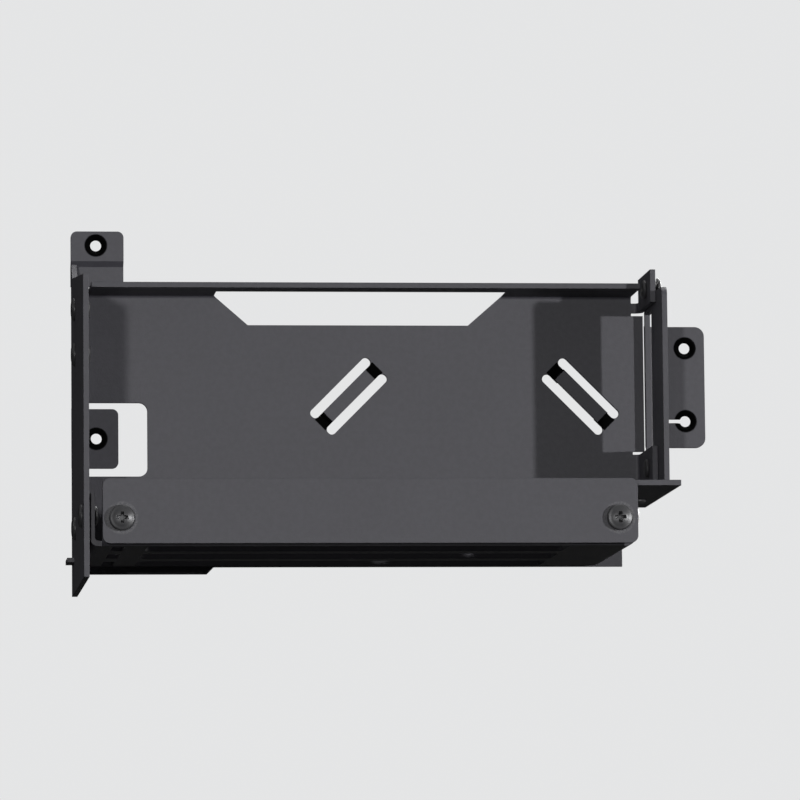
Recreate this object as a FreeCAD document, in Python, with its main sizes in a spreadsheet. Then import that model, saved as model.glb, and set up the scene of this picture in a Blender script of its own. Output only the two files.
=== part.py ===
import FreeCAD, Part
import os
import re
import Sketcher

# Graphics card support bracket: a folded sheet cage that holds the slot end of an upright card.
# Millimetres, +Z up. The cage screws to a wall behind it at Y = 0, and the viewer stands at -Y.
# The origin is midway between the two screw holes of the left wall, on the wall face.

SIZES = {
    "gauge": 1.2,                # sheet thickness of every folded piece
    "bend_radius": 0.8,          # inside radius of every fold
    "relief": 0.7,               # gap that keeps two folds apart at a corner
    "fit_gap": 0.1,              # play between sheets that lie side by side
    "hole_edge": 5.7,            # left wall's outer face to its two screw holes
    "lower_hole_height": 29.2,   # slot face to the lower of those holes
    "upper_hole_rise": 10.1,     # top of the cage to the upper one
    "slot_pitch": 20.32,         # from one card slot to the next
    "slot_count": 3,
    "slot_margin": 0.02,         # left over beside the slots, front and rear
    "seat_length": 120.4,        # left wall's outer face to the face that the card's tabs seat on
    "box_height": 14.4,          # depth of the slot plate's folded rim
    "opening_width": 14.4,       # one card opening across
    "opening_start": 14.0,       # left wall's outer face to the openings
    "opening_stop": 14.4,        # openings to the seat
    "opening_corner": 1.5,
    "tongue_start": 6.4,         # left wall's outer face to the slits for the card's tongues
    "tongue_width": 2.6,
    "tongue_length": 11.0,
    "rear_lip": 11.0,            # height of the slot plate's rear lip
    "side_lip": 11.5,            # height of its left lip
    "hook_reach": 1.5,           # how far the slot plate's hook stands out of the left wall
    "hook_length": 9.0,
    "front_lip_rivet": 9.0,      # rivets of the left lip, from the slot plate's front and rear
    "rear_lip_rivet": 20.0,
    "lip_rivet_drop": 4.4,
    "hook_start": 4.5,           # from the wall face to the hook
    "hook_lift": 0.2,            # how far the hook is pressed up, clear of the slot face
    "ledge_gap": 0.5,            # between the ledge's edge and the right wall
    "tray_height": 63.1,         # slot face to the top of the cage
    "ledge_reach": 11.9,         # seat to the right wall's outer face
    "top_flange": 16.5,          # depth of the tray's top flange
    "notch_start": 29.8,         # left wall's outer face to the notch in the back plate
    "notch_stop": 31.2,          # notch to the right wall's outer face
    "notch_slope": 10.45,        # how far each side of the notch runs in
    "notch_depth": 7.9,
    "notch_reach": 9.0,          # how far the notch runs into the top flange
    "hem_drop": 1.6,             # lowered left part of the back plate's lower edge
    "hem_length": 30.6,
    "heel_inset": 6.8,           # right end of that edge to the right wall's outer face
    "window_width": 17.3,        # screwdriver window at the left edge of the back plate
    "window_below": 8.6,         # lower screw hole to the window's lower edge
    "window_above": 8.2,         # and to its upper one
    "window_corner": 2.0,
    "tie_level": 0.6181,         # middle of the cable-tie slots, as a share of the cage's height
    "tie_left": 63.2,            # left wall's outer face to the left pair
    "tie_inset": 15.9,           # right wall's outer face to the right pair
    "tie_gap": 5.3,              # between the two slots of a pair
    "tie_width": 2.2,
    "tie_length": 18.6,
    "tie_tilt": 45,
    "tie_end_round": 0.99,       # corner radius at the ends of a tie slot
    "overcut": 0.01,             # how far a cut runs past the strip it hollows
    "bridge_rise": 0.9,          # how far the strip between two slots is pressed forward
    "left_return": 27.0,         # depth of the tray's left return flange
    "left_rivet_edge": 5.0,      # its front edge to its rivets
    "left_return_level": 0.6656, # its lower end, as a share of the cage's height
    "left_rivet_drop": 7.0,      # rivets of the left return flange, from its top and its floor
    "left_rivet_lift": 4.0,
    "right_return": 22.0,        # depth of the two right ones, above and below the right wall's window
    "right_return_rise": 2.5,    # how far the upper one stands up past the top
    "right_return_play": 0.8,    # window's edges to the two right return flanges
    "right_rivet_edge": 7.0,     # their front edges to their rivets
    "wall_drop": 6.8,            # left wall below the slot face
    "wall_rear_rise": 1.7,       # left wall above the cage's top, near the wall face
    "wall_front_fall": 4.1,      # and below it at the front edge
    "tab_width": 10.7,           # the left wall's screw tabs, over the wall
    "tab_height": 13.5,
    "top_tab_width": 12.0,
    "top_tab_rise": 13.3,        # top of the cage to the top of the upper tab
    "joggle": 1.2,               # forward step of the upper tab
    "joggle_rise": 6.5,          # top of the cage to the step
    "tab_corner": 1.4,
    "screw_hole": 2.5,           # diameter of the holes for the case screws
    "hole_flare": 0.8,           # how far the mouth of such a hole is flared
    "right_depth": 31.0,         # front edge of the right wall to the wall face
    "right_wall_fall": 2.4,      # right wall below the cage's top
    "right_rivet_rise": 1.20103, # right wall's top to the middle of the upper right rivet
    "right_wall_corner": 2.0,
    "foot_width": 9.0,           # right wall's foot on the ledge
    "front_foot_rivet": 6.0,     # rivets of the foot, from its front and from the back plate
    "rear_foot_rivet": 7.0,
    "foot_rivet_shift": 1.0,     # from the foot's middle towards the seat wall
    "ear_reach": 12.8,           # screw ear beyond the right wall
    "ear_below": 0.8,            # window's lower edge to the ear's
    "ear_above": 2.4,            # ear's upper edge to the window's
    "ear_spacing": 16.8,
    "ear_edge": 4.5,             # ear's free edge to its holes
    "ear_corner": 2.2,
    "ear_slit": 0.9,             # slit from the lower hole to the wall
    "ear_hole_lift": 0.6,        # middle of the ear to the middle of its holes
    "light_floor_level": 0.4184, # window that the ear was folded out of, as shares of the cage's height
    "light_top_level": 0.9097,
    "light_length": 13.0,
    "bar_start": 4.0,            # left wall's outer face to the front bar
    "bar_gauge": 1.5,
    "bar_base": 0.3,             # slot face to the bar's lower edge
    "bar_corner": 1.6,
    "bar_screw_edge": 4.1,       # bar's ends to its screws
    "bar_screw_height": 5.8,
    "thread": 3.0,               # diameter of the bar and slot screws
    "head_width": 5.6,
    "head_height": 1.9,
    "recess_width": 3.2,         # cross recess of a head
    "recess_slot": 0.8,
    "recess_depth": 1.1,
    "nut_width": 4.9,
    "nut_height": 1.6,
    "nut_spigot": 4.2,           # part of a clinch nut that is pressed into the sheet
    "shank_play": 0.15,          # screw shank to its clearance hole
    "slot_screw_height": 7.0,
    "slot_screw_length": 5.0,
    "rivet": 3.0,                # rivet shank
    "rivet_head": 5.2,
    "rivet_rise": 0.9,
    "rivet_tail": 4.2,
    "rivet_pin": 1.6,            # hollow left by the pulled pin
}

TIED = {
    "face_drop": "((tray_height + upper_hole_rise + lower_hole_height) / 2)",
    "tab_spacing": "(tray_height + upper_hole_rise - lower_hole_height)",
    "cage_width": "(seat_length + ledge_reach)",
    "opening_length": "(seat_length - opening_start - opening_stop)",
    "notch_top": "(cage_width - notch_start - notch_stop)",
    "notch_bottom": "(notch_top - 2 * notch_slope)",
    "notch_floor": "(tray_height - notch_depth)",
    "heel_start": "(cage_width - heel_inset)",
    "window_floor": "(lower_hole_height - window_below)",
    "window_top": "(lower_hole_height + window_above)",
    "tie_height": "(tray_height * tie_level)",
    "tie_right": "(cage_width - tie_inset)",
    "left_return_floor": "(tray_height * left_return_level)",
    "wall_rear_top": "(tray_height + wall_rear_rise)",
    "wall_front_top": "(tray_height - wall_front_fall)",
    "joggle_start": "(tray_height + joggle_rise)",
    "top_tab_end": "(tray_height + top_tab_rise)",
    "light_floor": "(tray_height * light_floor_level)",
    "light_top": "(tray_height * light_top_level)",
    "ear_floor": "(light_floor + ear_below)",
    "ear_top": "(light_top - ear_above)",
}

WALL = "(-hole_edge)"
FACE = "(-face_drop)"
REAR = "(-gauge)"
FRONT = "(-gauge - slot_count * slot_pitch - 2 * slot_margin)"
SEAT = "(seat_length - hole_edge)"
INNER_LEFT = "(gauge + fit_gap - hole_edge)"
RIGHT = "(cage_width - hole_edge)"
INNER_RIGHT = "(cage_width - gauge - fit_gap - hole_edge)"
TOP = "(tray_height - face_drop)"
FOLD = "(gauge + bend_radius)"

document = FreeCAD.newDocument("bracket")
sheet = document.addObject("Spreadsheet::Sheet", "dims")
for row, (alias, value) in enumerate(SIZES.items(), start=1):
    sheet.set("A%d" % row, alias)
    sheet.set("B%d" % row, str(value))
    sheet.setAlias("B%d" % row, alias)
document.recompute()


def bound(text):
    """Expression text with each tied length written out and each size turned into its cell of the sheet."""
    def written(word):
        name = word.group(0)
        if name in TIED:
            return bound(TIED[name])
        return "dims." + name if name in SIZES else name

    return re.sub(r"[a-z_]+", written, text)


def number(text):
    """Present value of an expression."""
    value = sheet.evalExpression(bound(text))
    return float(getattr(value, "Value", value))


def newBody(label):
    body = document.addObject("PartDesign::Body", label)
    body.Label = label
    return body


def newSketch(body, name, plane, offset):
    """Sketch on an origin plane, moved along the plane's own normal."""
    sketch = body.newObject("Sketcher::SketchObject", name)
    origin = [item for item in body.Origin.OriginFeatures if item.Role == plane][0]
    sketch.AttachmentSupport = [(origin, "")]
    sketch.MapMode = "FlatFace"
    sketch.setExpression(".AttachmentOffset.Base.z", bound(offset))
    return sketch


def pin(sketch, index, point, across, up):
    """Holds one point of a sketch at two bound distances from the origin."""
    for kind, text in (("DistanceX", across), ("DistanceY", up)):
        place = sketch.addConstraint(Sketcher.Constraint(kind, -1, 1, index, point, number(text)))
        sketch.setExpression("Constraints[%d]" % place, bound(text))


def addLoop(sketch, corners):
    """Closed outline through corners, each a pair of expressions."""
    places = [FreeCAD.Vector(number(across), number(up), 0) for across, up in corners]
    first = sketch.GeometryCount
    for index, place in enumerate(places):
        sketch.addGeometry(Part.LineSegment(place, places[(index + 1) % len(places)]), False)
    for index, corner in enumerate(corners):
        follower = first + (index + 1) % len(corners)
        sketch.addConstraint(Sketcher.Constraint("Coincident", first + index, 2, follower, 1))
        pin(sketch, first + index, 1, corner[0], corner[1])


def addBlock(sketch, left, low, right, high):
    addLoop(sketch, [(left, low), (right, low), (right, high), (left, high)])


def addCircle(sketch, across, up, diameter):
    centre = FreeCAD.Vector(number(across), number(up), 0)
    index = sketch.addGeometry(Part.Circle(centre, FreeCAD.Vector(0, 0, 1), number(diameter) / 2), False)
    pin(sketch, index, 3, across, up)
    place = sketch.addConstraint(Sketcher.Constraint("Diameter", index, number(diameter)))
    sketch.setExpression("Constraints[%d]" % place, bound(diameter))


def pad(body, sketch, length, reverse=False):
    feature = body.newObject("PartDesign::Pad", sketch.Name + "_pad")
    feature.Profile = sketch
    feature.Reversed = reverse
    feature.setExpression("Length", bound(length))
    sketch.Visibility = False
    document.recompute()
    return feature


def pocket(body, sketch, length, reverse=False):
    """Cuts a sketch out, and stops if nothing was cut."""
    before = body.Tip.Shape.Volume
    feature = body.newObject("PartDesign::Pocket", sketch.Name + "_pocket")
    feature.Profile = sketch
    feature.Reversed = reverse
    feature.setExpression("Length", bound(length))
    document.recompute()
    if not feature.Shape.Volume < before - 1e-6:
        raise RuntimeError("nothing cut by " + feature.Name)
    return feature


def edgesAlong(shape, axis, places, span):
    """Names of the straight edges along one axis at the given pairs of coordinates, within a span of it."""
    others = [index for index in range(3) if index != axis]
    names = []
    for count, edge in enumerate(shape.Edges, start=1):
        ends = [vertex.Point for vertex in edge.Vertexes]
        if len(ends) != 2 or not isinstance(edge.Curve, Part.Line):
            continue
        if span and not all(span[0] - 1e-4 < end[axis] < span[1] + 1e-4 for end in ends):
            continue
        for place in places:
            if all(abs(end[others[side]] - place[side]) < 1e-4 for end in ends for side in (0, 1)):
                names.append("Edge%d" % count)
                break
    return names


def roundEdges(body, name, axis, places, radius, span=None):
    """Fillet along every edge that lies at one of the places, given as expressions."""
    spots = [(number(first), number(second)) for first, second in places]
    limits = [number(limit) for limit in span] if span else None
    names = edgesAlong(body.Tip.Shape, axis, spots, limits)
    if not names:
        raise RuntimeError("no edge for " + name)
    feature = body.newObject("PartDesign::Fillet", name)
    feature.Base = (body.getObject(name).BaseFeature, names)
    feature.setExpression("Radius", bound(radius))
    document.recompute()
    if not feature.Shape.Faces:
        raise RuntimeError("failed fillet " + name)
    return feature


def fold(body, name, axis, inner, outer, span=None):
    """Rounds a fold: its inside by the bend radius, its outside by the sheet more."""
    roundEdges(body, name + "_inside", axis, inner, "bend_radius", span)
    roundEdges(body, name + "_outside", axis, outer, "bend_radius + gauge", span)


def slotPlace(index):
    """Distance along Y of one card slot's middle, the first at the rear."""
    return "(-gauge - slot_margin - %.1f * slot_pitch)" % (index + 0.5)


def barScrewPlace(side):
    """Distance along X of one screw of the front bar."""
    if side == "left":
        return "(bar_start + bar_screw_edge - hole_edge)"
    return "(seat_length - bar_screw_edge - hole_edge)"


def buildTray():
    """Back plate with a top flange and two return flanges, folded from one sheet."""
    body = newBody("tray")
    left = "(%s + bend_radius + gauge + relief)" % INNER_LEFT
    floor = "(left_return_floor - face_drop)"
    shoulder = "(%s - %s - relief)" % (TOP, FOLD)
    right = INNER_RIGHT
    rightBack = "(%s - %s - relief)" % (INNER_RIGHT, FOLD)
    plate = newSketch(body, "back_plate", "XZ_Plane", "0")
    addLoop(plate, [
        (left, "(-hem_drop - face_drop)"),
        ("(hem_length - hole_edge)", "(-hem_drop - face_drop)"),
        ("(hem_length + hem_drop - hole_edge)", FACE),
        ("(heel_start - hole_edge)", FACE),
        ("(heel_start - hole_edge)", RETURN_FLOOR),
        (right, RETURN_FLOOR),
        (right, LOWER_TOP),
        (rightBack, LOWER_TOP),
        (rightBack, "(%s + relief)" % LOWER_TOP),
        (right, "(%s + relief)" % LOWER_TOP),
        (right, "(%s - relief)" % UPPER_FLOOR),
        (rightBack, "(%s - relief)" % UPPER_FLOOR),
        (rightBack, UPPER_FLOOR),
        (right, UPPER_FLOOR),
        (right, shoulder),
        (rightBack, shoulder),
        (rightBack, TOP),
        (left, TOP),
        (left, shoulder),
        (INNER_LEFT, shoulder),
        (INNER_LEFT, floor),
        (left, floor),
    ])
    pad(body, plate, "gauge")
    flange = newSketch(body, "top_flange", "XY_Plane", TOP)
    addBlock(flange, left, "(-top_flange)", rightBack, "0")
    pad(body, flange, "gauge", reverse=True)
    leftFlange = newSketch(body, "left_flange", "YZ_Plane", INNER_LEFT)
    addBlock(leftFlange, "(-left_return)", floor, "0", shoulder)
    pad(body, leftFlange, "gauge")
    crest = "(-%s - relief)" % FOLD
    rightFlange = newSketch(body, "right_flanges", "YZ_Plane", INNER_RIGHT)
    addLoop(rightFlange, [
        ("(-right_return)", UPPER_FLOOR),
        ("0", UPPER_FLOOR),
        ("0", shoulder),
        (crest, shoulder),
        (crest, RISE),
        ("(-right_return)", RISE),
    ])
    addBlock(rightFlange, "(-right_return)", RETURN_FLOOR, "0", LOWER_TOP)
    pad(body, rightFlange, "gauge", reverse=True)
    fold(body, "top_fold", 0, [(REAR, "(%s - gauge)" % TOP)], [("0", TOP)])
    fold(body, "left_fold", 2, [("(%s + gauge)" % INNER_LEFT, REAR)], [(INNER_LEFT, "0")])
    for name, low, high in (("lower", RETURN_FLOOR, LOWER_TOP), ("upper", UPPER_FLOOR, shoulder)):
        fold(body, "right_%s_fold" % name, 2, [("(%s - gauge)" % INNER_RIGHT, REAR)], [(INNER_RIGHT, "0")],
             (low, high))

    notch = newSketch(body, "notch", "XZ_Plane", "0")
    start = "(notch_start - hole_edge)"
    low = "(notch_floor - face_drop)"
    addLoop(notch, [
        ("(%s + notch_slope)" % start, low),
        ("(%s + notch_slope + notch_bottom)" % start, low),
        ("(%s + notch_top)" % start, "(%s + gauge)" % TOP),
        ("(%s)" % start, "(%s + gauge)" % TOP),
    ])
    pocket(body, notch, "notch_reach", reverse=True)
    window = newSketch(body, "driver_window", "XZ_Plane", "0")
    windowRight = "(window_width - hole_edge)"
    addBlock(window, "(%s - gauge)" % INNER_LEFT, "(window_floor - face_drop)", windowRight,
             "(window_top - face_drop)")
    pocket(body, window, "gauge", reverse=True)
    roundEdges(body, "window_corners", 1,
               [(windowRight, "(window_floor - face_drop)"), (windowRight, "(window_top - face_drop)")],
               "window_corner")
    for side, tilt in (("left", 1), ("right", -1)):
        cutTiePair(body, side, tilt)
    for name, height in (("upper", UPPER_RIVET), ("lower", LOWER_RIVET)):
        drill(body, "left_%s_rivet_hole" % name, "YZ_Plane", "(%s - gauge)" % INNER_LEFT, LEFT_RIVET, height,
              "rivet", "3 * gauge")
    for name, height in (("upper", RIGHT_UPPER), ("lower", RIGHT_LOWER)):
        drill(body, "right_%s_rivet_hole" % name, "YZ_Plane", "(%s - 2 * gauge)" % INNER_RIGHT, RIGHT_RIVET, height,
              "rivet", "3 * gauge")
    return body


LEFT_RIVET = "(left_rivet_edge - left_return)"
UPPER_RIVET = "(tray_height - left_rivet_drop - face_drop)"
LOWER_RIVET = "(left_return_floor + left_rivet_lift - face_drop)"
RIGHT_RIVET = "(right_rivet_edge - right_return)"
RETURN_FLOOR = "(box_height + %s + 2 * fit_gap - face_drop)" % FOLD
LOWER_TOP = "(light_floor - right_return_play - face_drop)"
UPPER_FLOOR = "(light_top + right_return_play - face_drop)"
RISE = "(%s + right_return_rise)" % TOP
RIGHT_UPPER = "(%s - right_wall_fall + right_rivet_rise)" % TOP
RIGHT_LOWER = "((%s + %s) / 2)" % (RETURN_FLOOR, LOWER_TOP)


def drill(body, name, plane, offset, across, up, diameter, length):
    """Round hole through one wall of a body, from a plane beside it."""
    sketch = newSketch(body, name, plane, offset)
    addCircle(sketch, across, up, diameter)
    return pocket(body, sketch, length, reverse=True)


def flare(body, name, across, along, up):
    """Widens the mouth of a screw hole on the viewer's side."""
    mouth = FreeCAD.Vector(number(across), number(along), number(up))
    names = []
    for count, edge in enumerate(body.Tip.Shape.Edges, start=1):
        if isinstance(edge.Curve, Part.Circle) and edge.Curve.Center.distanceToPoint(mouth) < 1e-4:
            names.append("Edge%d" % count)
    if not names:
        raise RuntimeError("no edge for " + name)
    feature = body.newObject("PartDesign::Chamfer", name)
    feature.Base = (feature.BaseFeature, names)
    feature.setExpression("Size", bound("hole_flare"))
    document.recompute()
    if not feature.Shape.Faces:
        raise RuntimeError("failed flare " + name)


def turned(across, up, centre, tilt):
    """A point of a tilted pattern, as two expressions."""
    cosine = "cos(tie_tilt)"
    sine = "(%d * sin(tie_tilt))" % tilt
    return ("(%s + (%s) * %s - (%s) * %s)" % (centre[0], across, cosine, up, sine),
            "(%s + (%s) * %s + (%s) * %s)" % (centre[1], across, sine, up, cosine))


def cutTiePair(body, side, tilt):
    """Two slanted slots with the strip between them pressed forward for a cable tie."""
    centre = ("(tie_%s - hole_edge)" % side, "(tie_height - face_drop)")
    slots = newSketch(body, side + "_tie_slots", "XZ_Plane", "0")
    for row in (-1, 1):
        middle = "(%d * tie_gap / 2)" % row
        low = "(%s - tie_width / 2)" % middle
        high = "(%s + tie_width / 2)" % middle
        corners = [("(-tie_length / 2)", low), ("(tie_length / 2)", low),
                   ("(tie_length / 2)", high), ("(-tie_length / 2)", high)]
        addLoop(slots, [turned(across, up, centre, tilt) for across, up in corners])
    pocket(body, slots, "2 * gauge", reverse=True)
    places = []
    for row in (-1, 1):
        for end in (-1, 1):
            for edge in (-1, 1):
                across = "(%d * tie_length / 2)" % end
                up = "(%d * tie_gap / 2 + %d * tie_width / 2)" % (row, edge)
                places.append(turned(across, up, centre, tilt))
    roundEdges(body, side + "_tie_ends", 1, places, "tie_end_round")
    half = "(tie_gap / 2 - tie_width / 2)"
    reach = "(tie_length / 2 - tie_width)"
    strip = newSketch(body, side + "_tie_strip", "XZ_Plane", "gauge")
    addLoop(strip, [turned(across, up, centre, tilt) for across, up in (
        ("(-%s)" % reach, "(-%s)" % half), (reach, "(-%s)" % half), (reach, half), ("(-%s)" % reach, half))])
    pad(body, strip, "bridge_rise")
    hollow = newSketch(body, side + "_tie_hollow", "XZ_Plane", "0")
    inset = "(%s - gauge)" % reach
    addLoop(hollow, [turned(across, up, centre, tilt) for across, up in (
        ("(-%s)" % inset, "(-%s - overcut)" % half), (inset, "(-%s - overcut)" % half),
        (inset, "(%s + overcut)" % half), ("(-%s)" % inset, "(%s + overcut)" % half))])
    pocket(body, hollow, "bridge_rise", reverse=True)


def buildLeftWall():
    """Tall side plate with two screw tabs at the wall face, the upper one stepped forward."""
    body = newBody("left_wall")
    front = "(%s + fit_gap)" % FRONT
    setback = "(-%s - relief)" % FOLD
    tabLow = "(-tab_spacing / 2 - tab_height / 2)"
    tabHigh = "(-tab_spacing / 2 + tab_height / 2)"
    stepFace = "(-joggle)"
    base = "(tray_height + fit_gap + relief - face_drop)"
    kneeLow = "(joggle_start - face_drop - gauge)"
    kneeHigh = "(joggle_start - face_drop)"
    end = "(top_tab_end - face_drop)"
    wall = newSketch(body, "side_plate", "YZ_Plane", WALL)
    addLoop(wall, [
        (front, "(-wall_drop - face_drop)"),
        (setback, "(-wall_drop - face_drop)"),
        (setback, tabLow),
        ("0", tabLow),
        ("0", tabHigh),
        (setback, tabHigh),
        (setback, base),
        ("0", base),
        ("0", kneeLow),
        ("(%s - 3 * relief)" % setback, kneeLow),
        ("(%s - 8 * relief)" % setback, "(wall_rear_top - face_drop)"),
        (front, "(wall_front_top - face_drop)"),
    ])
    pad(body, wall, "gauge")
    tab = newSketch(body, "lower_tab", "XZ_Plane", "0")
    addBlock(tab, WALL, tabLow, "(tab_width - hole_edge)", tabHigh)
    pad(body, tab, "gauge")
    fold(body, "lower_tab_fold", 2, [("(gauge - hole_edge)", REAR)], [(WALL, "0")], (tabLow, tabHigh))
    roundEdges(body, "lower_tab_corners", 1,
               [("(tab_width - hole_edge)", tabLow), ("(tab_width - hole_edge)", tabHigh)], "tab_corner")
    drill(body, "lower_tab_hole", "XZ_Plane", "0", "0", "(-tab_spacing / 2)", "screw_hole", "2 * gauge")
    stem = newSketch(body, "upper_tab_stem", "YZ_Plane", WALL)
    addLoop(stem, [
        ("0", base),
        ("0", kneeLow),
        (stepFace, kneeHigh),
        (stepFace, end),
        ("(-joggle - gauge)", end),
        ("(-joggle - gauge)", kneeHigh),
        (REAR, kneeLow),
        (REAR, base),
    ])
    pad(body, stem, "top_tab_width")
    roundEdges(body, "upper_tab_corners", 1, [("(top_tab_width - hole_edge)", end), (WALL, end)], "tab_corner")
    drill(body, "upper_tab_hole", "XZ_Plane", "joggle", "0", "(tab_spacing / 2)", "screw_hole", "2 * gauge")
    flare(body, "upper_tab_flare", "0", "(-joggle - gauge)", "(tab_spacing / 2)")
    slit = newSketch(body, "hook_slit", "YZ_Plane", WALL)
    addBlock(slit, "(-hook_start - hook_length - fit_gap)", "(-fit_gap - face_drop)", "(-hook_start + fit_gap)",
             "(gauge + fit_gap - face_drop)")
    pocket(body, slit, "gauge", reverse=True)
    for name, height in (("upper", UPPER_RIVET), ("lower", LOWER_RIVET)):
        drill(body, "wall_%s_rivet_hole" % name, "YZ_Plane", "(%s - gauge)" % WALL, LEFT_RIVET, height, "rivet",
              "3 * gauge")
    for name, place in (("front", LIP_FRONT), ("rear", LIP_REAR)):
        drill(body, "wall_%s_lip_hole" % name, "YZ_Plane", "(%s - gauge)" % WALL, place, LIP_HEIGHT, "rivet",
              "3 * gauge")
    return body


LIP_FRONT = "(%s + front_lip_rivet)" % FRONT
LIP_REAR = "(-gauge - rear_lip_rivet)"
LIP_HEIGHT = "(side_lip - lip_rivet_drop - face_drop)"


def buildRightWall():
    """Side plate with its foot on the ledge, and a screw ear folded out of its window."""
    body = newBody("right_wall")
    foot = "(box_height + fit_gap - face_drop)"
    setback = "(-%s - relief)" % FOLD
    earLow = "(ear_floor - face_drop)"
    earHigh = "(ear_top - face_drop)"
    earEnd = "(%s + ear_reach)" % RIGHT
    crest = "(%s - right_wall_fall)" % TOP
    wall = newSketch(body, "side_plate_right", "YZ_Plane", "(%s - gauge)" % RIGHT)
    addLoop(wall, [
        ("(-right_depth)", foot),
        (setback, foot),
        (setback, earLow),
        ("0", earLow),
        ("0", earHigh),
        (setback, earHigh),
        (setback, crest),
        ("(-right_depth)", crest),
    ])
    pad(body, wall, "gauge")
    sole = newSketch(body, "foot", "XY_Plane", foot)
    addBlock(sole, "(%s - foot_width - gauge)" % RIGHT, "(-right_depth + relief)", RIGHT, "(%s - relief)" % setback)
    pad(body, sole, "gauge")
    trim = newSketch(body, "foot_relief", "YZ_Plane", "(%s - gauge)" % RIGHT)
    addBlock(trim, "(-right_depth - gauge)", "(%s - gauge)" % foot, "(-right_depth + relief)",
             "(%s + %s)" % (foot, FOLD))
    pocket(body, trim, "2 * gauge", reverse=True)
    rear = newSketch(body, "foot_rear_relief", "YZ_Plane", "(%s - gauge)" % RIGHT)
    addBlock(rear, "(%s - relief)" % setback, "(%s - gauge)" % foot, "gauge", "(%s + %s)" % (foot, FOLD))
    pocket(body, rear, "2 * gauge", reverse=True)
    roundEdges(body, "right_wall_corner", 0, [("(-right_depth)", crest)], "right_wall_corner")
    fold(body, "foot_fold", 1, [("(%s - gauge)" % RIGHT, "(%s + gauge)" % foot)], [(RIGHT, foot)])
    light = newSketch(body, "light_window", "YZ_Plane", "(%s - 2 * gauge)" % RIGHT)
    addBlock(light, "(-light_length - gauge)", "(light_floor - face_drop)", "(%s - gauge)" % setback,
             "(light_top - face_drop)")
    pocket(body, light, "3 * gauge", reverse=True)
    ear = newSketch(body, "ear", "XZ_Plane", "0")
    addBlock(ear, "(%s - gauge)" % RIGHT, earLow, earEnd, earHigh)
    pad(body, ear, "gauge")
    fold(body, "ear_fold", 2, [(RIGHT, REAR)], [("(%s - gauge)" % RIGHT, "0")])
    roundEdges(body, "ear_corners", 1, [(earEnd, earLow), (earEnd, earHigh)], "ear_corner")
    earX = "(%s - ear_edge)" % earEnd
    for name, side in (("lower", -1), ("upper", 1)):
        height = "(%s + %d * ear_spacing / 2)" % (EAR_MIDDLE, side)
        drill(body, "ear_%s_hole" % name, "XZ_Plane", "0", earX, height, "screw_hole", "2 * gauge")
        flare(body, "ear_%s_flare" % name, earX, REAR, height)
    slit = newSketch(body, "ear_slit_cut", "XZ_Plane", "0")
    slitHeight = "(%s - ear_spacing / 2)" % EAR_MIDDLE
    addBlock(slit, "(%s + bend_radius + gauge)" % RIGHT, "(%s - ear_slit / 2)" % slitHeight, earX, "(%s + ear_slit / 2)" % slitHeight)
    pocket(body, slit, "2 * gauge", reverse=True)
    for name, height in (("upper", RIGHT_UPPER), ("lower", RIGHT_LOWER)):
        drill(body, "outer_%s_rivet_hole" % name, "YZ_Plane", "(%s - 2 * gauge)" % RIGHT, RIGHT_RIVET, height,
              "rivet", "3 * gauge")
    for name, place in (("front", FOOT_FRONT), ("rear", FOOT_REAR)):
        drill(body, "foot_%s_hole" % name, "XY_Plane", "(%s - gauge)" % foot, FOOT_RIVET, place, "rivet",
              "3 * gauge")
    return body


EAR_MIDDLE = "((ear_floor + ear_top) / 2 + ear_hole_lift - face_drop)"
FOOT_FRONT = "(-right_depth + front_foot_rivet)"
FOOT_REAR = "(-gauge - rear_foot_rivet)"
FOOT_RIVET = "(cage_width - gauge - foot_width / 2 - hole_edge - foot_rivet_shift)"


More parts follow.
